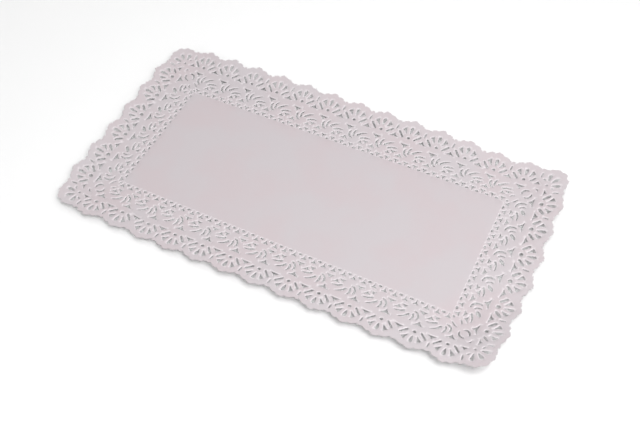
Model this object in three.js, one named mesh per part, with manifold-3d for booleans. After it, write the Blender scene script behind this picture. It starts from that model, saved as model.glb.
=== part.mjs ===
// A long paper doily: one sheet of pierced, embossed lace paper with a plain flat middle.
// The lace border is a row of fans along each edge, and it rises outwards like the rim of a very shallow tray.
// Sizes are in millimetres. The sheet lies in the XY plane with +Z up, its long edges along X,
// and the origin is under the middle of the sheet, on the surface that it rests on.
import * as THREE from 'three';
import { mergeGeometries, mergeVertices } from 'three/addons/utils/BufferGeometryUtils.js';
import Module from 'manifold-3d';

const wasm = await Module();
wasm.setup();

// Driving sizes
const pitch = 25;            // one fan of the lace, measured along an edge
const fansOnLongEdge = 13;
const fansOnShortEdge = 6;
const cornerReach = 20.75;   // from the eye of an edge's last fan to the crossing of the two rows of eyes
const thickness = 1;
const borderInside = 22.5;   // from a row of eyes in to the flat middle
const borderOutside = 16.4;  // from a row of eyes out to the tips of the scallops
const rimRise = 6.4;         // height of the scallop tips over the flat middle
const riseExponent = 1.7;    // how the rise bends: 1 would be straight

// Worked out from them
const eyeRowHalf = {
  x: ((fansOnLongEdge - 1) / 2) * pitch + cornerReach,
  y: ((fansOnShortEdge - 1) / 2) * pitch + cornerReach,
};
const flatHalf = { x: eyeRowHalf.x - borderInside, y: eyeRowHalf.y - borderInside };
const rimWidth = borderInside + borderOutside;

// The four edges in order round the sheet, each seen from inside with outward pointing down:
// where its row of eyes is, which way it runs, and which way is inward
const edges = [
  { middle: [0, -eyeRowHalf.y], along: [1, 0], inward: [0, 1], fans: fansOnLongEdge, half: eyeRowHalf.x },
  { middle: [eyeRowHalf.x, 0], along: [0, 1], inward: [-1, 0], fans: fansOnShortEdge, half: eyeRowHalf.y },
  { middle: [0, eyeRowHalf.y], along: [-1, 0], inward: [0, -1], fans: fansOnLongEdge, half: eyeRowHalf.x },
  { middle: [-eyeRowHalf.x, 0], along: [0, -1], inward: [1, 0], fans: fansOnShortEdge, half: eyeRowHalf.y },
];

function placeOnEdge(edge, [s, t]) {
  return [
    edge.middle[0] + edge.along[0] * s + edge.inward[0] * t,
    edge.middle[1] + edge.along[1] * s + edge.inward[1] * t,
  ];
}

// Openings of one fan. Columns: along the edge from the fan's eye, inward from the row of eyes
const sideSlot = { from: [5.2, 0.6], to: [9.4, -3.9], width: 1.4 };
const sideWedge = [
  [3.2, -3.6],
  [7.3, -6.8],
  [4.8, -9.0],
];
const middlePetal = [
  [0, -4.9],
  [1.35, -9.4],
  [0, -10.4],
  [-1.35, -9.4],
];
// The three-pointed opening above each eye
const deltoid = [
  [-3.6, 6.4],
  [0, 6.8],
  [3.6, 6.4],
  [0.9, 8.0],
  [0, 9.8],
  [-0.9, 8.0],
];
// The opening between two fans. Columns: along from half way between the eyes, inward
const spandrel = [
  [-3.3, 1.9],
  [0, 1.5],
  [3.3, 1.9],
  [1.1, 0.1],
  [0, -1.0],
  [-1.1, 0.1],
];

// Corner fan, in the corner's own axes from the crossing of the rows of eyes: along one edge, and along the other
const cornerEye = [2.1, 2.1];
const cornerPetalTurn = THREE.MathUtils.degToRad(42);
const cornerSpandrel = { place: 9.5, scale: 0.85 };
const cornerRing = { centre: [13.8, 13.8], outer: 4.4, inner: 3.2, halfArc: THREE.MathUtils.degToRad(60), steps: 3 };

// Half a scallop of the cut edge. Columns: along from the fan's eye, outward from the row of eyes
const halfScallop = [
  [0, 16.4],
  [2.0, 15.9],
  [4.2, 13.8],
  [5.8, 14.8],
  [7.3, 14.2],
  [10.8, 11.6],
  [12.5, 13.2],
];
// Half of the corner fan's edge. Columns: degrees from the diagonal about the corner eye, radius
const halfCornerScallop = [
  [0, 16.4],
  [13, 15.4],
  [26, 16.0],
  [40, 15.0],
  [59, 14.0],
];

// Places where the paper lies higher or lower than its even rise.
// Columns: x and y as shares of the eye rows' half lengths, height at the row of eyes, reach
const unevenness = [
  { x: 1.05, y: -0.95, height: 5.2, reach: 34 },
  { x: 1.0, y: 0.85, height: 2.0, reach: 22 },
  { x: 1.0, y: -0.3, height: -2.0, reach: 26 },
  { x: 0.78, y: 1.0, height: -2.2, reach: 34 },
  { x: -0.55, y: 1.0, height: 1.2, reach: 80 },
  { x: -0.65, y: -1.0, height: -1.8, reach: 60 },
  { x: 0.93, y: -1.2, height: -1.6, reach: 14 },
  { x: 1.07, y: 1.14, height: 0.9, reach: 26 },
  { x: -1.07, y: 1.14, height: -1.6, reach: 26 },
  { x: -1.07, y: -1.14, height: -1.6, reach: 26 },
];

// Places where the border is pushed aside in plan. Columns: as above, but along x and y at the row of eyes
const drift = [
  { x: 1.0, y: -0.05, dx: 1.1, dy: -0.5, reach: 38 },
  { x: 0.82, y: 1.0, dx: 0.3, dy: -0.9, reach: 28 },
  { x: 0.8, y: -1.0, dx: 0.6, dy: 0.8, reach: 28 },
  { x: -0.8, y: -1.0, dx: -0.4, dy: 1.0, reach: 24 },
  { x: -1.0, y: 0.0, dx: 0.8, dy: -0.4, reach: 30 },
];

// Small shapes in the plane
function bar({ from, to, width }) {
  const run = [to[0] - from[0], to[1] - from[1]];
  const length = Math.hypot(...run);
  const side = [(-run[1] / length) * (width / 2), (run[0] / length) * (width / 2)];
  return [
    [from[0] + side[0], from[1] + side[1]],
    [to[0] + side[0], to[1] + side[1]],
    [to[0] - side[0], to[1] - side[1]],
    [from[0] - side[0], from[1] - side[1]],
  ];
}

function mirrored(points) {
  return points.map(([s, t]) => [-s, t]);
}

function turned(points, angle) {
  const [c, s] = [Math.cos(angle), Math.sin(angle)];
  return points.map(([x, y]) => [c * x - s * y, s * x + c * y]);
}

function shifted(points, [dx, dy]) {
  return points.map(([x, y]) => [x + dx, y + dy]);
}

function arcSlot({ centre, outer, inner, halfArc, steps }, facing) {
  const points = [];
  for (let i = 0; i <= steps; i += 1) {
    const angle = facing - halfArc + (2 * halfArc * i) / steps;
    points.push([centre[0] + outer * Math.cos(angle), centre[1] + outer * Math.sin(angle)]);
  }
  for (let i = steps - 1; i > 0; i -= 1) {
    const angle = facing - halfArc + (2 * halfArc * i) / steps;
    points.push([centre[0] + inner * Math.cos(angle), centre[1] + inner * Math.sin(angle)]);
  }
  return points;
}

function fanOpenings() {
  const slot = bar(sideSlot);
  return [slot, mirrored(slot), sideWedge, mirrored(sideWedge), middlePetal, deltoid];
}

function edgeOpenings(edge) {
  const found = [];
  for (let fan = 0; fan < edge.fans; fan += 1) {
    const eye = (fan - (edge.fans - 1) / 2) * pitch;
    for (const opening of fanOpenings()) found.push(shifted(opening, [eye, 0]));
    if (fan > 0) found.push(shifted(spandrel, [eye - pitch / 2, 0]));
  }
  const small = spandrel.map(([s, t]) => [s * cornerSpandrel.scale, t * cornerSpandrel.scale]);
  for (const end of [-1, 1]) found.push(shifted(small, [end * (edge.half - cornerSpandrel.place), 0]));
  return found.map((points) => points.map((point) => placeOnEdge(edge, point)));
}

// The corner at the start of an edge: its own axes run along this edge and inward from it
function cornerPoint(edge, [u, v]) {
  return placeOnEdge(edge, [u - edge.half, v]);
}

function cornerOpenings(edge) {
  const outwardDiagonal = -Math.PI / 4;
  const petals = [-cornerPetalTurn, 0, cornerPetalTurn].map((turn) =>
    shifted(turned(middlePetal, outwardDiagonal + turn), cornerEye),
  );
  const ring = [-Math.PI / 4, (3 * Math.PI) / 4].map((facing) => arcSlot(cornerRing, facing));
  return [...petals, ...ring].map((points) => points.map((point) => cornerPoint(edge, point)));
}

// The cut edge of the whole sheet, anticlockwise
function outline() {
  const points = [];
  const scallop = [...mirrored(halfScallop.slice(1)).reverse(), ...halfScallop];
  const diagonal = -135;
  for (const edge of edges) {
    const corner = [
      ...halfCornerScallop.slice(1).reverse().map(([angle, radius]) => [diagonal - angle, radius]),
      ...halfCornerScallop.map(([angle, radius]) => [diagonal + angle, radius]),
    ];
    for (const [angle, radius] of corner) {
      const turn = THREE.MathUtils.degToRad(angle);
      points.push(
        cornerPoint(edge, [cornerEye[0] + radius * Math.cos(turn), cornerEye[1] + radius * Math.sin(turn)]),
      );
    }
    for (let fan = 0; fan < edge.fans; fan += 1) {
      const eye = (fan - (edge.fans - 1) / 2) * pitch;
      const first = fan === 0 ? 0 : 1;
      for (const [s, out] of scallop.slice(first)) points.push(placeOnEdge(edge, [eye + s, -out]));
    }
  }
  return points;
}

// How far a point of the flat sheet lies outside the flat middle
function distanceOut(x, y) {
  return Math.hypot(Math.max(Math.abs(x) - flatHalf.x, 0), Math.max(Math.abs(y) - flatHalf.y, 0));
}

// How strongly an uneven place is felt at a point: nothing in the flat middle, 1 at the place on the row of eyes
function share(place, x, y) {
  const away = Math.hypot(x - place.x * eyeRowHalf.x, y - place.y * eyeRowHalf.y) / place.reach;
  return (distanceOut(x, y) / borderInside) * Math.exp(-away * away);
}

// Height of the sheet's underside over the surface that it rests on
function heightAt(x, y) {
  let height = rimRise * (distanceOut(x, y) / rimWidth) ** riseExponent;
  for (const place of unevenness) height += place.height * share(place, x, y);
  return Math.max(height, 0);
}

// Where a point of the flat sheet lies in plan
function placeInPlan(x, y) {
  const moved = [x, y];
  for (const push of drift) {
    moved[0] += push.dx * share(push, x, y);
    moved[1] += push.dy * share(push, x, y);
  }
  return moved;
}

// Solids. Everything is cut square to the sheet while it is still nearly flat
function solidFrom(geometry) {
  geometry.deleteAttribute('normal');
  geometry.deleteAttribute('uv');
  const merged = mergeVertices(geometry, 1e-4);
  return new wasm.Manifold(
    new wasm.Mesh({
      numProp: 3,
      vertProperties: new Float32Array(merged.getAttribute('position').array),
      triVerts: new Uint32Array(merged.getIndex().array),
    }),
  );
}

const cutReach = 3; // how far the cutting prisms stand out on both sides of the blank
function prism(points) {
  const shape = new THREE.Shape(points.map(([x, y]) => new THREE.Vector2(x, y)));
  const geometry = new THREE.ExtrudeGeometry(shape, { depth: thickness + 2 * cutReach, bevelEnabled: false });
  return geometry.translate(0, 0, -cutReach);
}

// A blank slab on a coarse grid, whose lines run between the rows of openings.
// Its slight dish keeps neighbouring facets apart until the sheet gets its real heights.
function blank() {
  const margin = borderOutside + 4;
  const betweenRows = [4.2, 14];
  const lineBesideEye = 2.3;
  const dish = 0.2;
  const lines = (half, fans) => {
    const rims = [half + margin, ...betweenRows.map((inset) => half - inset), half - borderInside];
    const inner = [];
    for (let fan = 0; fan < fans; fan += 1) {
      const line = (fan - (fans - 1) / 2) * pitch + lineBesideEye;
      if (Math.abs(line) < half - borderInside - pitch / 4) inner.push(line);
    }
    return [...rims.map((value) => -value), ...inner, ...rims.reverse()];
  };
  const xs = lines(eyeRowHalf.x, fansOnLongEdge);
  const ys = lines(eyeRowHalf.y, fansOnShortEdge);
  const [cellsX, cellsY] = [xs.length - 1, ys.length - 1];
  const slab = new THREE.BoxGeometry(1, 1, thickness, cellsX, cellsY, 1);
  const position = slab.getAttribute('position');
  for (let i = 0; i < position.count; i += 1) {
    const x = xs[Math.round((position.getX(i) + 0.5) * cellsX)];
    const y = ys[Math.round((position.getY(i) + 0.5) * cellsY)];
    const lift = dish * ((x / eyeRowHalf.x) ** 2 + (y / eyeRowHalf.y) ** 2);
    position.setXYZ(i, x, y, position.getZ(i) + thickness / 2 + lift);
  }
  return slab;
}

function doily() {
  const openings = [];
  for (const edge of edges) openings.push(...edgeOpenings(edge), ...cornerOpenings(edge));
  const cutters = solidFrom(mergeGeometries(openings.map(prism)));
  const flat = solidFrom(blank()).intersect(solidFrom(prism(outline()))).subtract(cutters).getMesh();
  const positions = new Float32Array(flat.vertProperties);
  for (let i = 0; i < positions.length; i += 3) {
    const face = positions[i + 2] > thickness / 2 ? thickness : 0;
    const [x, y] = [positions[i], positions[i + 1]];
    [positions[i], positions[i + 1]] = placeInPlan(x, y);
    positions[i + 2] = heightAt(x, y) + face;
  }
  const geometry = new THREE.BufferGeometry();
  geometry.setAttribute('position', new THREE.BufferAttribute(positions, 3));
  geometry.setIndex(new THREE.BufferAttribute(new Uint32Array(flat.triVerts), 1));
  geometry.computeVertexNormals();
  const paper = new THREE.MeshStandardMaterial({ color: 0xd4cccf, roughness: 0.9, metalness: 0 });
  const mesh = new THREE.Mesh(geometry, paper);
  mesh.name = 'doily';
  return mesh;
}

const part = new THREE.Group();
part.add(doily());

export default part;
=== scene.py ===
"""The long paper doily as one thin, pierced and pressed sheet of lace paper, on a pale floor.

The lace is charted in millimetres. Each edge of the sheet is seen from inside with outward pointing down:
s runs along the edge, and t runs inward from the row of eyes. Corners have their own axes, from the crossing
of their rows of eyes: u along the edge that leaves the corner, and v along the edge that arrives.
"""
import math

import bpy
import numpy as np
from mathutils import Matrix, Vector, kdtree
from mathutils.geometry import delaunay_2d_cdt


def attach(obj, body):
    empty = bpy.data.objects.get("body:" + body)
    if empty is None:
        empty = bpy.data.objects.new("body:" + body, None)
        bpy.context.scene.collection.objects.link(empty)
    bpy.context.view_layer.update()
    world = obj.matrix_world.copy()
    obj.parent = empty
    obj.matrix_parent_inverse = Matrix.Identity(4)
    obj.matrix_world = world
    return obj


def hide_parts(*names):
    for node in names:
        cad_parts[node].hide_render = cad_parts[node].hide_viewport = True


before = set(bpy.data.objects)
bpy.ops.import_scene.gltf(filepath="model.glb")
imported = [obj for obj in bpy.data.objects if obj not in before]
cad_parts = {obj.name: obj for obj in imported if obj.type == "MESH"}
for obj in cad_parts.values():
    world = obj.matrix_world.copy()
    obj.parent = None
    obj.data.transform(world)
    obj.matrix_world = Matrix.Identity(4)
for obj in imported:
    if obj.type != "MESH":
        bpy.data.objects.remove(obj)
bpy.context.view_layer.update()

MM = 0.001

# Driving sizes of the sheet, in millimetres
PITCH = 25.0            # one fan of the lace, along an edge
FANS_ON_LONG_EDGE = 13
FANS_ON_SHORT_EDGE = 6
CORNER_REACH = 20.75    # from the eye of an edge's last fan to the crossing of the rows of eyes
BORDER_INSIDE = 22.5    # from a row of eyes in to the flat middle
BORDER_OUTSIDE = 16.4   # from a row of eyes out to the tips of the scallops
RIM_RISE = 6.4          # height of the scallop tips over the flat middle
RISE_EXPONENT = 1.7     # how the rise bends: 1 would be straight
BEAD_STEP = PITCH / 3
FIRST_BEAD = 29.3       # from the corner crossing to the first bead triangle of an edge
CORNER_DOT = 25.75      # the dot that two bead rows share, from the crossing, along both edges

# The paper, in millimetres
PAPER = 0.25            # thickness
CLEAR_OF_FLOOR = 0.75   # under the flat middle, so that the lowest rolled edges clear the floor by 0.1
ROLL_DEPTH = 0.65       # how far the paper is pressed down at the edge of an opening
ROLL_BEND = 0.3         # from the opening's edge to the middle of the roll
BEND_SHARE = 0.4        # the share of ROLL_DEPTH that is left at the middle of the roll
ROLL_REACH = 0.8        # from the opening's edge to where the paper is flat again
MARGIN = 9.5            # the plain margin starts this far outside the row of eyes

# How pale the paper is at a point: 0 is its tint, and 1 is a paler colour. Along the rolled edges of the
# openings this is a painted highlight, and the outer margin is a little paler too
HIGHLIGHT_AT_OPENING = 1
HIGHLIGHT_AT_BEND = 0.9
PALE_ON_FLAT = 0.05
PALE_ON_MARGIN = 0.12

# The teeth of the cut edge, in millimetres
TOOTH = 1.9             # usual width
TOOTH_HEIGHT = 0.5      # usual height, of which the points of a tooth take their shares
TOOTH_UNEVENNESS = 0.5  # the most by which a tooth's height differs from that, as a share of it
# Phase of that difference in radians: for each millimetre along x, for each along y, and for each tooth
TOOTH_WAVE = (1.7, 2.3, 2.1)
# The points of a tooth. Columns: place as a share of its width, how far that moves in an uneven tooth,
# distance out from the edge's line as a share of its height
TOOTH_POINTS = [(0, 0, -0.8), (0.3, 0.1, 0.7), (0.6, 0.1, 0.9)]

# How the sheet is divided into triangles, in millimetres where it is not a share
SAMPLE_STEP = 0.16      # between the places on a line that distances are measured to
RING_CLEARANCE = 0.7    # a point of a ring stays this share of the ring's offset away from all openings
RING_GAP = 0.6          # and this share of it away from other points
BORDER_STEP = 2.2       # the grid of points over the border
BORDER_GRID_BEYOND = 18  # from a row of eyes out to the end of that grid
BORDER_GRID_INSIDE = 6  # from the edge of the flat middle in to its other end
MIDDLE_STEP = 6.0       # the grid of points over the flat middle
MIDDLE_GRID_INSIDE = 7  # from the edge of the flat middle in to that grid
GRID_CLEARANCE = 1.3    # a point of a grid stays this many times the roll's reach away from all openings
GRID_GAP = 1.2          # from a point of a grid to other points
EDGE_GAP = 0.3          # from a point of a ring or grid to the cut edge
MERGE_WITHIN = 1e-5     # points this close are one
CREASE = math.radians(40)  # faces that meet at more than this are not shaded as one

HALF_X = (FANS_ON_LONG_EDGE - 1) / 2 * PITCH + CORNER_REACH
HALF_Y = (FANS_ON_SHORT_EDGE - 1) / 2 * PITCH + CORNER_REACH
FLAT_X = HALF_X - BORDER_INSIDE
FLAT_Y = HALF_Y - BORDER_INSIDE
RIM_WIDTH = BORDER_INSIDE + BORDER_OUTSIDE

# Each edge: middle of its row of eyes, direction along it, direction inward, fans, half length, seams, shift
# and slip. A seam is a place where the pressing rolls meet, measured along the edge. The shift moves all the
# openings along the edge, and the slip is how far the rows inside the fans lie out of step with them.
EDGES = [
    dict(middle=(0, -HALF_Y), along=(1, 0), inward=(0, 1), fans=FANS_ON_LONG_EDGE, half=HALF_X,
         seams=(-112.5, 112.5), shift=-0.7, slip=0.1),
    dict(middle=(HALF_X, 0), along=(0, 1), inward=(-1, 0), fans=FANS_ON_SHORT_EDGE, half=HALF_Y,
         seams=(-25.0, 25.0), shift=0.0, slip=0.0),
    dict(middle=(0, HALF_Y), along=(-1, 0), inward=(0, -1), fans=FANS_ON_LONG_EDGE, half=HALF_X,
         seams=(-112.5, 112.5), shift=0.2, slip=0.4),
    dict(middle=(-HALF_X, 0), along=(0, -1), inward=(1, 0), fans=FANS_ON_SHORT_EDGE, half=HALF_Y,
         seams=(-25.0, 25.0), shift=0.3, slip=-0.8),
]

# Places where the paper lies higher or lower than its even rise.
# Columns: x and y as shares of the eye rows' half lengths, height at the row of eyes, reach
UNEVENNESS = [
    (1.05, -0.95, 5.2, 34),
    (1.0, 0.85, 2.0, 22),
    (1.0, -0.3, -2.0, 26),
    (0.78, 1.0, -2.2, 34),
    (-0.55, 1.0, 1.2, 80),
    (-0.65, -1.0, -1.8, 60),
    (0.93, -1.2, -1.6, 14),
    (1.07, 1.14, 0.9, 26),
    (-1.07, 1.14, -1.6, 26),
    (-1.07, -1.14, -1.6, 26),
]

# Places where the border is pushed aside in plan.
# Columns: x and y as above, push along x and along y at the row of eyes, reach
DRIFT = [
    (1.0, -0.05, 1.1, -0.5, 38),
    (0.82, 1.0, 0.3, -0.9, 28),
    (0.8, -1.0, 0.6, 0.8, 28),
    (-0.8, -1.0, -0.4, 1.0, 24),
    (-1.0, 0.0, 0.8, -0.4, 30),
]


def distance_out(x, y):
    """How far points of the flat sheet lie outside the flat middle."""
    return np.hypot(np.maximum(np.abs(x) - FLAT_X, 0), np.maximum(np.abs(y) - FLAT_Y, 0))


def felt(x, y, share_x, share_y, reach):
    """How strongly an uneven place is felt: nothing in the flat middle, 1 at its spot on the row of eyes."""
    away = np.hypot(x - share_x * HALF_X, y - share_y * HALF_Y) / reach
    return (distance_out(x, y) / BORDER_INSIDE) * np.exp(-away * away)


def height_at(x, y):
    """Height of the solid's underside over the floor."""
    height = RIM_RISE * (distance_out(x, y) / RIM_WIDTH) ** RISE_EXPONENT
    for share_x, share_y, rise, reach in UNEVENNESS:
        height = height + rise * felt(x, y, share_x, share_y, reach)
    return np.maximum(height, 0)


def place_in_plan(x, y):
    """Where points of the flat sheet lie in plan, as in the solid."""
    moved = np.column_stack([x, y])
    for share_x, share_y, push_x, push_y, reach in DRIFT:
        moved += np.outer(felt(x, y, share_x, share_y, reach), (push_x, push_y))
    return moved


# Shapes of openings, each a closed list of points

def through(points, steps):
    """A smooth line through the points, with the given steps between each two."""
    pts = np.array(points, float)
    padded = np.vstack([2 * pts[0] - pts[1], pts, 2 * pts[-1] - pts[-2]])
    line = []
    for a, b, c, d in zip(padded, padded[1:], padded[2:], padded[3:]):
        for k in range(steps):
            f = k / steps
            line.append(0.5 * (2 * b + (c - a) * f + (2 * a - 5 * b + 4 * c - d) * f ** 2
                               + (3 * b - a - 3 * c + d) * f ** 3))
    line.append(pts[-1])
    return np.array(line)


def curved_polygon(corners, sags, steps=3):
    """A polygon whose sides bend inward by their sag, a share of their length."""
    pts = np.array(corners, float)
    middle = pts.mean(axis=0)
    loop = []
    for a, b, sag in zip(pts, np.roll(pts, -1, axis=0), sags):
        side = b - a
        normal = np.array([side[1], -side[0]])
        if np.dot(normal, middle - (a + b) / 2) < 0:
            normal = -normal
        for k in range(steps):
            f = k / steps
            loop.append(a + side * f + normal * sag * 4 * f * (1 - f))
    return np.array(loop)


def leaf(line, widths, steps=2):
    """A stroke along a line whose full width follows the table, with a blunt point at each end."""
    path = through(line, steps)
    at = np.linspace(0, 1, len(path))
    half = np.interp(at, np.linspace(0, 1, len(widths)), widths) / 2
    run = np.gradient(path, axis=0)
    run /= np.linalg.norm(run, axis=1)[:, None]
    side = np.column_stack([-run[:, 1], run[:, 0]])
    start = path[0] - run[0] * half[0]
    end = path[-1] + run[-1] * half[-1]
    left = path + side * half[:, None]
    right = path - side * half[:, None]
    return np.vstack([[start], left, [end], right[::-1]])


def oval(centre, half_long, half_short, turn=0.0, count=9):
    angle = np.linspace(0, 2 * math.pi, count, endpoint=False)
    x, y = half_long * np.cos(angle), half_short * np.sin(angle)
    c, s = math.cos(turn), math.sin(turn)
    return np.column_stack([centre[0] + c * x - s * y, centre[1] + s * x + c * y])


def arc(centre, radius, width, facing, half_arc, stations=6):
    """A stroke along a part of a circle, half as wide at its ends. The angles are in degrees."""
    angle = np.radians(np.linspace(facing - half_arc, facing + half_arc, stations))
    line = np.column_stack([centre[0] + radius * np.cos(angle), centre[1] + radius * np.sin(angle)])
    return leaf(line, [width * 0.5, width, width, width * 0.5], steps=1)


def mirrored(loop):
    """The same opening on the other side of its fan."""
    return loop * np.array([-1.0, 1.0])


def turned(loop, angle):
    """The same opening, turned anticlockwise about its fan's eye."""
    c, s = math.cos(angle), math.sin(angle)
    return loop @ np.array([[c, s], [-s, c]])


# The openings of one fan, from its eye. These differ between the long and the short edges.
LONG_EDGE = dict(
    eye=oval((0, 0), 1.3, 1.15),
    slot=leaf([(5.1, 0.6), (7.3, -1.7), (9.5, -4.0)], [1.4, 1.6, 1.5], steps=1),
    petal=leaf([(0, -4.4), (0, -7.0), (0, -9.3)], [0.7, 2.2, 3.1]),
    deltoid=curved_polygon([(-4.2, 6.2), (4.2, 6.2), (0.1, 10.2)], (0.02, 0.12, 0.12), steps=4),
    spandrel=curved_polygon([(-4.2, 2.3), (4.2, 2.3), (0, -1.3)], (0.02, 0.12, 0.12), steps=4),
    last_leaf=leaf([(8.8, 8.4), (12.1, 9.9), (14.3, 11.9), (15.4, 13.1)], [0.4, 1.4, 1.9]),
    outer_crescent=leaf([(-6.4, 17.5), (-4.9, 17.1), (-3.5, 16.1), (-2.5, 14.4), (-2.2, 12.5),
                         (-2.9, 10.4)], [0.4, 1.2, 1.5, 1.4, 0.5], steps=1),
    inner_crescent=leaf([(-6.4, 14.6), (-6.0, 13.0), (-5.95, 11.2), (-6.5, 9.6), (-7.3, 8.3)],
                        [1.4, 1.4, 1.1, 0.45], steps=1),
)
SHORT_EDGE = dict(
    eye=oval((0, 0), 1.6, 1.6),
    slot=leaf([(5.2, 0.0), (7.1, -2.0), (8.9, -3.9)], [1.9, 2.1, 1.9], steps=1),
    petal=leaf([(0, -4.4), (0, -7.4), (0, -10.0)], [0.7, 2.2, 3.0]),
    deltoid=curved_polygon([(-4.8, 6.1), (4.8, 6.1), (0, 10.4)], (0.02, 0.12, 0.12), steps=4),
    spandrel=curved_polygon([(-4.8, 2.4), (4.8, 2.4), (0, -1.3)], (0.02, 0.12, 0.12), steps=4),
    last_leaf=leaf([(11.4, 8.9), (13.0, 10.3), (14.6, 11.9)], [1.6, 2.9, 2.3]),
    outer_crescent=leaf([(-8.2, 17.9), (-6.3, 17.6), (-4.6, 16.7), (-3.2, 15.0), (-2.6, 12.6),
                         (-3.2, 10.2)], [0.4, 1.2, 1.6, 1.4, 0.5], steps=1),
    inner_crescent=leaf([(-8.2, 14.8), (-6.9, 13.4), (-6.4, 11.6), (-6.8, 9.8)],
                        [0.4, 0.9, 0.9, 0.4], steps=1),
)
# These are alike on all edges
SHORT_SLOT = leaf([(5.4, 0.2), (7.1, -1.6), (8.6, -3.1)], [1.2, 1.4, 1.3], steps=1)
WEDGE = curved_polygon([(3.1, -3.3), (7.7, -6.8), (4.8, -9.5)], (0.02, -0.03, 0.02))
DELTOID_IN = curved_polygon([(-3.4, 20.0), (3.5, 20.0), (0, 16.8)], (0.02, 0.1, 0.1))
SMALL_DELTOID_IN = curved_polygon([(8.0, 19.9), (12.6, 20.0), (10.7, 17.2)], (0.03, 0.08, 0.08))
LEAF_WEDGE = curved_polygon([(2.9, 15.2), (9.4, 15.8), (6.3, 18.4)], (0.06, 0.08, 0.08))
SHORT_LEAF = leaf([(4.2, 12.9), (8.0, 13.2), (11.5, 14.9)], [0.4, 1.2, 1.6])
# The openings between two fans, from half way between the eyes
VALLEY_SLOT = leaf([(0.3, -5.0), (0.1, -7.0), (-0.1, -9.0)], [0.8, 1.2, 1.0], steps=1)
SEAM_SPANDREL = curved_polygon([(-4.5, 2.5), (4.2, 1.5), (0.6, -1.2)], (0.02, 0.1, 0.1))
# The bead row: a bead triangle, and the dot that lies half way between two of them
BEAD = curved_polygon([(-2.3, 23.0), (2.3, 23.0), (0, 27.2)], (0.02, 0.14, 0.14))
DOT = oval((0, 26.3), 1.5, 0.85, count=8)

# The corner's openings, in its own axes. Its spandrel and slots come twice, mirrored in the diagonal.
DIAGONAL = math.radians(45)
CORNER_EYE = np.array([2.1, 2.1])
CORNER_EYE_OPENING = oval(CORNER_EYE, 0.95, 0.75, turn=DIAGONAL, count=8)
PETAL_TURN = math.radians(42)
CORNER_RING = [arc((13.8, 13.8), radius=3.85, width=1.35, facing=degrees, half_arc=60)
               for degrees in (-45, 135)]
CORNER_SPANDREL = LONG_EDGE["spandrel"] * 0.76 + np.array([9.5, 0.3])
CORNER_SLOT = leaf([(4.4, -2.5), (5.8, -3.6)], [0.9, 0.9], steps=1)
CORNER_VALLEY_SLOT = VALLEY_SLOT + np.array([8.2, 0])
CORNER_TRIANGLE = curved_polygon([(6.8, 9.5), (7.1, 7.1), (10.1, 6.6)], (0.02, 0.02, 0.12))
CORNER_ARCS = [
    leaf([(18.2, 21.0), (19.6, 23.5), (21.5, 25.4)], [0.4, 1.1, 0.4]),
    leaf([(21.8, 18.3), (23.7, 19.0), (25.0, 20.3)], [0.4, 1.1, 0.4]),
]
CORNER_DOT_OPENING = oval((CORNER_DOT, CORNER_DOT), 1.1, 0.7, turn=DIAGONAL, count=8)

# Half a scallop of the cut edge. Columns: along from the fan's eye, outward from the row of eyes
HALF_SCALLOP = [(0, 16.4), (2.0, 15.9), (4.2, 13.8), (5.8, 14.8), (7.3, 14.2), (10.8, 11.6), (12.5, 13.2)]
# Half of the corner fan's edge. Columns: degrees from the diagonal about the corner eye, radius
HALF_CORNER_SCALLOP = [(0, 16.9), (8, 16.3), (13, 15.1), (20, 16.0), (28, 16.2), (34, 14.8), (45, 15.2),
                       (59, 13.9)]
OUTWARD_DEGREES = -135  # the outward diagonal, in the corner's own axes


def on_edge(edge, loop):
    """Places points of an edge's chart on the sheet."""
    loop = np.atleast_2d(np.asarray(loop, float))
    along, inward = np.array(edge["along"], float), np.array(edge["inward"], float)
    return np.array(edge["middle"], float) + loop[:, :1] * along + loop[:, 1:] * inward


def near_seam(edge, s):
    """Whether a place along the edge, half way between two fans, is at a seam."""
    return any(abs(s - seam) < PITCH / 4 for seam in edge["seams"])


def fan_openings(kind, first, last):
    """The openings of a fan, outside and inside its row of eyes.

    The fans beside a corner lack those that the corner's own take the place of.
    """
    fan = [kind["eye"], WEDGE, mirrored(WEDGE), kind["petal"], kind["slot"]]
    fan.append(mirrored(SHORT_SLOT if first else kind["slot"]))
    inside = [kind["deltoid"]]
    if not last:
        inside += [SMALL_DELTOID_IN, LEAF_WEDGE, SHORT_LEAF, kind["last_leaf"]]
    if not first:
        inside += [kind["outer_crescent"], kind["inner_crescent"]]
    if not first and not last:
        inside.append(DELTOID_IN)
    return fan, inside


def edge_openings(edge):
    """The openings of all the fans of an edge, and of its bead row."""
    kind = LONG_EDGE if edge["fans"] == FANS_ON_LONG_EDGE else SHORT_EDGE
    found = []
    for fan in range(edge["fans"]):
        eye = (fan - (edge["fans"] - 1) / 2) * PITCH + edge["shift"]
        outside, inside = fan_openings(kind, fan == 0, fan == edge["fans"] - 1)
        here = [loop + (eye, 0) for loop in outside]
        here += [loop + (eye + edge["slip"], 0) for loop in inside]
        if fan > 0:
            between = eye - PITCH / 2
            if near_seam(edge, between - edge["shift"]):
                here.append(SEAM_SPANDREL + (between, 0))
            else:
                here += [kind["spandrel"] + (between, 0), VALLEY_SLOT + (between, 0)]
        found += [on_edge(edge, loop) for loop in here]
    beads = round((2 * edge["half"] - 2 * FIRST_BEAD) / BEAD_STEP) + 1
    for bead in range(beads):
        s = FIRST_BEAD - edge["half"] + bead * BEAD_STEP + edge["shift"] + edge["slip"]
        found.append(on_edge(edge, BEAD + (s, 0)))
        if bead < beads - 1:
            found.append(on_edge(edge, DOT + (s + BEAD_STEP / 2, 0)))
    return found


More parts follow.
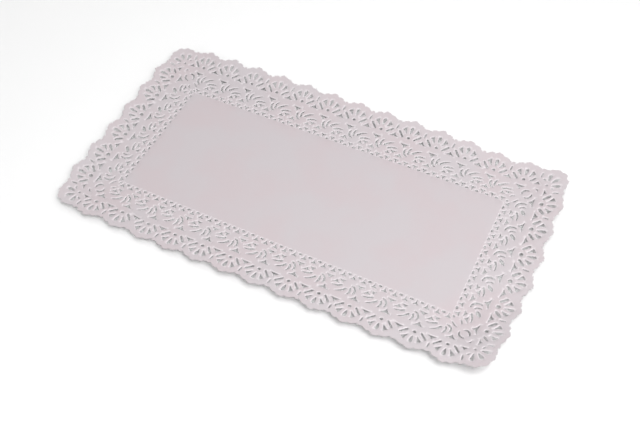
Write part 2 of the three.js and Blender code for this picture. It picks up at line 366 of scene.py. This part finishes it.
def corner_openings(edge):
    """The openings of the corner at the start of an edge."""
    found = [CORNER_EYE_OPENING]
    for turn in (-PETAL_TURN, 0, PETAL_TURN):
        found.append(turned(LONG_EDGE["petal"], -DIAGONAL + turn) + CORNER_EYE)
    found += CORNER_RING
    for loop in (CORNER_SPANDREL, CORNER_SLOT, CORNER_VALLEY_SLOT):
        found += [loop, loop[:, ::-1]]
    found.append(CORNER_TRIANGLE)
    found += CORNER_ARCS
    found.append(CORNER_DOT_OPENING)
    return [on_edge(edge, loop - (edge["half"], 0)) for loop in found]


def toothed(points):
    """The cut edge through the points, as a row of small ragged teeth, no two of them quite alike."""
    wave_x, wave_y, wave_tooth = TOOTH_WAVE
    line = []
    for a, b in zip(points, np.roll(points, -1, axis=0)):
        run = b - a
        length = np.linalg.norm(run)
        outward = np.array([run[1], -run[0]]) / length
        teeth = max(1, round(length / TOOTH))
        for tooth in range(teeth):
            uneven = math.sin(wave_x * a[0] + wave_y * a[1] + wave_tooth * tooth)
            tall = TOOTH_HEIGHT * (1 + TOOTH_UNEVENNESS * uneven)
            for share, sway, out in TOOTH_POINTS:
                place = tooth + (share + sway * uneven)
                line.append(a + run * place / teeth + outward * tall * out)
    return np.array(line)


def outline():
    """The cut edge of the whole sheet, anticlockwise."""
    points = []
    scallop = [(-s, out) for s, out in HALF_SCALLOP[:0:-1]] + HALF_SCALLOP
    for edge in EDGES:
        corner = [(OUTWARD_DEGREES - a, r) for a, r in HALF_CORNER_SCALLOP[:0:-1]]
        corner += [(OUTWARD_DEGREES + a, r) for a, r in HALF_CORNER_SCALLOP]
        for angle, radius in corner:
            turn = math.radians(angle)
            place = CORNER_EYE + radius * np.array([math.cos(turn), math.sin(turn)])
            points.append(on_edge(edge, place - (edge["half"], 0))[0])
        for fan in range(edge["fans"]):
            eye = (fan - (edge["fans"] - 1) / 2) * PITCH
            for s, out in scallop[1 if fan else 0:]:
                points.append(on_edge(edge, (eye + s, -out))[0])
    return toothed(np.array(points))


# Points and loops in the plane

def anticlockwise(loop):
    x, y = loop[:, 0], loop[:, 1]
    area = np.sum(x * np.roll(y, -1) - np.roll(x, -1) * y)
    return loop if area > 0 else loop[::-1]


def outward_normals(loop):
    """Unit normals at the points of an anticlockwise loop, pointing away from what it encloses."""
    ahead = np.roll(loop, -1, axis=0) - loop
    ahead /= np.linalg.norm(ahead, axis=1)[:, None]
    behind = np.roll(ahead, 1, axis=0)
    run = ahead + behind
    run /= np.maximum(np.linalg.norm(run, axis=1)[:, None], 1e-9)
    return np.column_stack([run[:, 1], -run[:, 0]])


class Nearest:
    """Distance from points to the nearest place on any of the loops."""

    def __init__(self, loops):
        samples = []
        for loop in loops:
            for a, b in zip(loop, np.roll(loop, -1, axis=0)):
                count = max(1, int(np.linalg.norm(b - a) / SAMPLE_STEP))
                samples += [a + (b - a) * k / count for k in range(count)]
        self.tree = kdtree.KDTree(len(samples))
        for k, (x, y) in enumerate(samples):
            self.tree.insert((x, y, 0), k)
        self.tree.balance()

    def __call__(self, points):
        return np.array([self.tree.find((x, y, 0))[2] for x, y in points])


def in_loop(points, loop):
    """Which points lie within a closed loop."""
    x, y = points[:, 0], points[:, 1]
    inside = np.zeros(len(points), bool)
    for (ax, ay), (bx, by) in zip(loop, np.roll(loop, -1, axis=0)):
        if ay != by:
            crossing = ax + (bx - ax) * (y - ay) / (by - ay)
            inside ^= ((ay > y) != (by > y)) & (x < crossing)
    return inside


def in_any(points, loops):
    """Which points lie within one of the loops."""
    found = np.zeros(len(points), bool)
    for loop in loops:
        near = np.all((points > loop.min(axis=0)) & (points < loop.max(axis=0)), axis=1)
        found[near] |= in_loop(points[near], loop)
    return found


def thinned(points, gap, taken):
    """Leaves out points that are closer than gap to an earlier one, or to one of those already taken."""
    cells = {}
    kept = []
    for group, keep in ((taken, False), (points, True)):
        for x, y in group:
            i, j = int(math.floor(x / gap)), int(math.floor(y / gap))
            around = [(i + di, j + dj) for di in (-1, 0, 1) for dj in (-1, 0, 1)]
            near = (q for cell in around for q in cells.get(cell, ()))
            if keep and any((x - q[0]) ** 2 + (y - q[1]) ** 2 < gap * gap for q in near):
                continue
            cells.setdefault((i, j), []).append((x, y))
            if keep:
                kept.append((x, y))
    return np.array(kept)


def grid(half_x, half_y, step):
    """Points over a rectangle about the sheet's middle, every other row half a step along."""
    xs = np.arange(-half_x, half_x + step / 2, step)
    ys = np.arange(-half_y, half_y + step / 2, step)
    return np.array([(x + (step / 2 if row % 2 else 0), y) for row, y in enumerate(ys) for x in xs])


# The sheet's mesh

def ring_points(outlines, holes, to_hole):
    """Points round the openings: a ring at the middle of the roll, and one where the roll ends."""
    taken = np.vstack(outlines)
    rings = []
    for offset in (ROLL_BEND, ROLL_REACH):
        ring = np.vstack([loop + outward_normals(loop) * offset for loop in holes])
        ring = ring[(to_hole(ring) > RING_CLEARANCE * offset) & ~in_any(ring, holes)]
        rings.append(thinned(ring, RING_GAP * offset, np.vstack([taken] + rings)))
    return np.vstack(rings)


def grid_points(holes, to_hole):
    """Points over the whole sheet clear of the openings, further apart in the flat middle."""
    border = grid(HALF_X + BORDER_GRID_BEYOND, HALF_Y + BORDER_GRID_BEYOND, BORDER_STEP)
    left_out = (FLAT_X - BORDER_GRID_INSIDE, FLAT_Y - BORDER_GRID_INSIDE)
    in_middle = np.all(np.abs(border) < left_out, axis=1)
    middle = grid(FLAT_X - MIDDLE_GRID_INSIDE, FLAT_Y - MIDDLE_GRID_INSIDE, MIDDLE_STEP)
    points = np.vstack([border[~in_middle], middle])
    return points[(to_hole(points) > GRID_CLEARANCE * ROLL_REACH) & ~in_any(points, holes)]


def loose_points(edge_loop, holes, to_hole):
    """The points of rings and grids that lie on the sheet."""
    to_edge = Nearest([edge_loop])
    rings = ring_points([edge_loop] + holes, holes, to_hole)
    grids = grid_points(holes, to_hole)
    rings = rings[(to_edge(rings) > EDGE_GAP) & in_loop(rings, edge_loop)]
    grids = grids[(to_edge(grids) > EDGE_GAP) & in_loop(grids, edge_loop)]
    return np.vstack([rings, thinned(grids, GRID_GAP, rings)])


def triangulated(outlines, loose):
    """Points and triangles of the flat sheet between its cut edge, the first outline, and its openings."""
    coordinates = [Vector(p) for p in np.vstack(outlines + [loose])]
    owner = np.full(len(coordinates), -1)
    sides = []
    first = 0
    for number, loop in enumerate(outlines):
        owner[first:first + len(loop)] = number
        sides += [(first + k, first + (k + 1) % len(loop)) for k in range(len(loop))]
        first += len(loop)
    over_convex_hull, with_origins = 0, True
    verts, _, faces, origins, _, _ = delaunay_2d_cdt(
        coordinates, sides, [], over_convex_hull, MERGE_WITHIN, with_origins)
    flat = np.array([(v[0], v[1]) for v in verts])
    outline_of = np.array([max((owner[i] for i in source), default=-1) for source in origins])

    # Only a triangle whose points are all on one outline can lie in an opening or past the cut edge
    faces = np.array([f for f in faces if len(f) == 3])
    centre = flat[faces].mean(axis=1)
    of_points = outline_of[faces]
    on_one = (of_points[:, 0] == of_points[:, 1]) & (of_points[:, 0] == of_points[:, 2])
    keep = np.ones(len(faces), bool)
    for number, loop in enumerate(outlines):
        ours = np.nonzero(on_one & (of_points[:, 0] == number))[0]
        within = in_loop(centre[ours], loop)
        keep[ours] = within if number == 0 else ~within
    return flat, faces[keep]


def flat_sheet():
    """The unpressed sheet: its points, its triangles, their area, and each point's distance to an opening."""
    found = []
    for edge in EDGES:
        found += edge_openings(edge) + corner_openings(edge)
    holes = [anticlockwise(np.asarray(loop, float)) for loop in found]
    edge_loop = anticlockwise(outline())
    to_hole = Nearest(holes)
    flat, faces = triangulated([edge_loop] + holes, loose_points(edge_loop, holes, to_hole))

    used = np.unique(faces)
    index = np.full(len(flat), -1)
    index[used] = np.arange(len(used))
    flat, faces = flat[used], index[faces]
    a, b, c = flat[faces[:, 0]], flat[faces[:, 1]], flat[faces[:, 2]]
    turn = (b[:, 0] - a[:, 0]) * (c[:, 1] - a[:, 1]) - (b[:, 1] - a[:, 1]) * (c[:, 0] - a[:, 0])
    faces[turn < 0] = faces[turn < 0][:, ::-1]
    return flat, faces, np.sum(np.abs(turn)) / 2, to_hole(flat)


def roll(distance):
    """How far the paper is pressed down at a distance from the nearest opening."""
    return np.interp(distance, [0, ROLL_BEND, ROLL_REACH], [ROLL_DEPTH, BEND_SHARE * ROLL_DEPTH, 0])


def walls(faces, count):
    """Triangles that join top and underside along every side that only one triangle has.

    The points of the underside follow those of the top, count places on.
    """
    open_sides = {}
    for p, q, r in faces:
        for side in ((p, q), (q, r), (r, p)):
            if (side[1], side[0]) in open_sides:
                del open_sides[(side[1], side[0])]
            else:
                open_sides[side] = True
    found = []
    for p, q in open_sides:
        found += [(p, p + count, q), (q, p + count, q + count)]
    return found


def add_paleness(mesh, flat, distance):
    """Notes how pale the paper is at each point: a painted highlight, strongest at the rolled edges of the
    openings, and a little paleness over the outer margin.
    """
    # Painted highlight: paler along the rolled edge of every opening, on all its sides
    pressed = np.interp(distance, [0, ROLL_BEND, ROLL_REACH], [HIGHLIGHT_AT_OPENING, HIGHLIGHT_AT_BEND, PALE_ON_FLAT])
    beyond = distance_out(flat[:, 0], flat[:, 1]) - BORDER_INSIDE
    margin = np.interp(beyond, [0, MARGIN], [PALE_ON_FLAT, PALE_ON_MARGIN])
    pale = np.maximum(pressed, margin)
    # The attribute carries the painted highlight and the paler margin to the paper's material
    layer = mesh.attributes.new("pale", "FLOAT", "POINT")
    layer.data.foreach_set("value", np.concatenate([pale, pale]).astype(np.float32))


def sheet_object():
    """The sheet in its real form, and its paper's area in square metres."""
    flat, faces, area, distance = flat_sheet()
    under = height_at(flat[:, 0], flat[:, 1]) + CLEAR_OF_FLOOR - roll(distance)
    plan = place_in_plan(flat[:, 0], flat[:, 1])
    points = np.vstack([np.column_stack([plan, under + PAPER]), np.column_stack([plan, under])]) * MM
    count = len(flat)
    polygons = np.vstack([faces, faces[:, ::-1] + count, walls(faces, count)])

    mesh = bpy.data.meshes.new("doily_sheet")
    mesh.from_pydata(points.tolist(), [], polygons.tolist())
    mesh.validate()
    mesh.shade_smooth()
    mesh.set_sharp_from_angle(angle=CREASE)
    add_paleness(mesh, flat, distance)
    sheet = bpy.data.objects.new("doily_sheet", mesh)
    bpy.context.scene.collection.objects.link(sheet)
    return sheet, area * MM * MM


# Materials

def new_material(name):
    material = bpy.data.materials.new(name)
    material.use_nodes = True
    return material, material.node_tree.nodes["Principled BSDF"]


def add_noise(tree, place, scale, detail):
    noise = tree.nodes.new("ShaderNodeTexNoise")
    noise.inputs["Scale"].default_value = scale
    noise.inputs["Detail"].default_value = detail
    tree.links.new(place.outputs["Object"], noise.inputs["Vector"])
    return noise


def lace_paper():
    """Matt, slightly pinkish white paper, soft in tint, with fine fibres. A painted highlight pales it along
    the rolled edges of its openings, and the outer margin is a little paler.
    """
    pink_tint, grey_tint = (0.405, 0.356, 0.370, 1), (0.399, 0.367, 0.381, 1)
    # The paler colour of the painted highlight, which the outer margin is also mixed a little towards
    highlight_colour = (0.575, 0.540, 0.556, 1)
    material, shader = new_material("embossed_paper")
    tree = material.node_tree
    place = tree.nodes.new("ShaderNodeTexCoord")
    mottle = add_noise(tree, place, scale=22, detail=3)
    tint = tree.nodes.new("ShaderNodeValToRGB")
    for stop, position, colour in zip(tint.color_ramp.elements, (0.4, 0.6), (pink_tint, grey_tint)):
        stop.position = position
        stop.color = colour
    tree.links.new(mottle.outputs["Fac"], tint.inputs["Fac"])
    # Mixes the tint towards that colour by the sheet's pale attribute: the painted highlight at the openings'
    # edges
    pale = tree.nodes.new("ShaderNodeAttribute")
    pale.attribute_name = "pale"
    whiten = tree.nodes.new("ShaderNodeMix")
    whiten.data_type = "RGBA"
    tree.links.new(pale.outputs["Fac"], whiten.inputs["Factor"])
    tree.links.new(tint.outputs["Color"], whiten.inputs["A"])
    whiten.inputs["B"].default_value = highlight_colour
    tree.links.new(whiten.outputs["Result"], shader.inputs["Base Color"])
    fibres = add_noise(tree, place, scale=1400, detail=4)
    bump = tree.nodes.new("ShaderNodeBump")
    bump.inputs["Strength"].default_value = 0.25
    bump.inputs["Distance"].default_value = 0.0001
    tree.links.new(fibres.outputs["Fac"], bump.inputs["Height"])
    tree.links.new(bump.outputs["Normal"], shader.inputs["Normal"])
    shader.inputs["Roughness"].default_value = 0.88
    shader.inputs["Specular IOR Level"].default_value = 0.25
    return material


def floor_acrylic():
    """A pale milky sheet, whose light spreads under the doily and lifts the shade in its openings."""
    material, shader = new_material("floor")
    shader.inputs["Base Color"].default_value = (0.7, 0.7, 0.7, 1)
    shader.inputs["Roughness"].default_value = 0.9
    shader.inputs["Specular IOR Level"].default_value = 0.1
    shader.subsurface_method = "BURLEY"
    shader.inputs["Subsurface Weight"].default_value = 1
    shader.inputs["Subsurface Radius"].default_value = (1, 1, 1)
    shader.inputs["Subsurface Scale"].default_value = 0.015
    return material


# The camera first, then the floor, the lights and the sheet. These sizes are in metres.

CAMERA_PLACE = Vector((0.20894, -0.35946, 0.53470))
CAMERA_RIGHT = Vector((0.89413, 0.44647, -0.03465))    # where the right of the picture points
CAMERA_FORWARD = Vector((-0.28932, 0.51689, -0.80568))
FOCAL_PIXELS = 841.8    # focal length, in pixels of the picture
IMAGE_WIDTH = 640       # pixels
SENSOR_WIDTH = 36       # millimetres, as is the camera's lens
FLOOR_HALF = 6.0        # from the middle of the floor to its edges
WORLD_LIGHT = 0.47      # strength of the even white light from all sides


def add_camera():
    data = bpy.data.cameras.new("camera")
    data.sensor_width = SENSOR_WIDTH
    data.lens = FOCAL_PIXELS * data.sensor_width / IMAGE_WIDTH
    data.clip_start = 0.01
    camera = bpy.data.objects.new("camera", data)
    forward = CAMERA_FORWARD.normalized()
    right = (CAMERA_RIGHT - forward * CAMERA_RIGHT.dot(forward)).normalized()
    up = right.cross(forward)
    turn = Matrix((right, up, -forward)).transposed()
    camera.matrix_world = Matrix.Translation(CAMERA_PLACE) @ turn.to_4x4()
    bpy.context.scene.collection.objects.link(camera)
    bpy.context.scene.camera = camera


def add_floor():
    mesh = bpy.data.meshes.new("floor")
    corners = [(x * FLOOR_HALF, y * FLOOR_HALF, 0) for x, y in ((-1, -1), (1, -1), (1, 1), (-1, 1))]
    mesh.from_pydata(corners, [], [(0, 1, 2, 3)])
    floor = bpy.data.objects.new("floor", mesh)
    mesh.materials.append(floor_acrylic())
    bpy.context.scene.collection.objects.link(floor)


def add_area_light(name, towards, elevation, distance, size, power):
    """A square soft light. towards is the plan direction from the sheet to the light."""
    data = bpy.data.lights.new(name, "AREA")
    data.shape = "SQUARE"
    data.size = size
    data.energy = power
    light = bpy.data.objects.new(name, data)
    flat = Vector((towards[0], towards[1], 0)).normalized()
    rise = math.radians(elevation)
    direction = flat * math.cos(rise) + Vector((0, 0, math.sin(rise)))
    light.location = direction * distance
    light.rotation_mode = "QUATERNION"
    light.rotation_quaternion = direction.to_track_quat("Z", "Y")
    bpy.context.scene.collection.objects.link(light)


def add_lights():
    add_area_light("key", towards=(0.88, -0.45), elevation=64, distance=1.1, size=0.55, power=14.5)
    add_area_light("fill", towards=(-0.85, 0.5), elevation=40, distance=1.3, size=0.8, power=4)
    world = bpy.data.worlds.new("world")
    world.use_nodes = True
    background = world.node_tree.nodes["Background"]
    background.inputs["Color"].default_value = (1, 1, 1, 1)
    background.inputs["Strength"].default_value = WORLD_LIGHT
    bpy.context.scene.world = world
    bpy.context.scene.view_settings.view_transform = "Standard"


add_camera()
add_floor()
add_lights()
sheet, flat_area = sheet_object()
sheet.data.materials.append(lace_paper())
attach(sheet, "root")
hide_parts("doily")
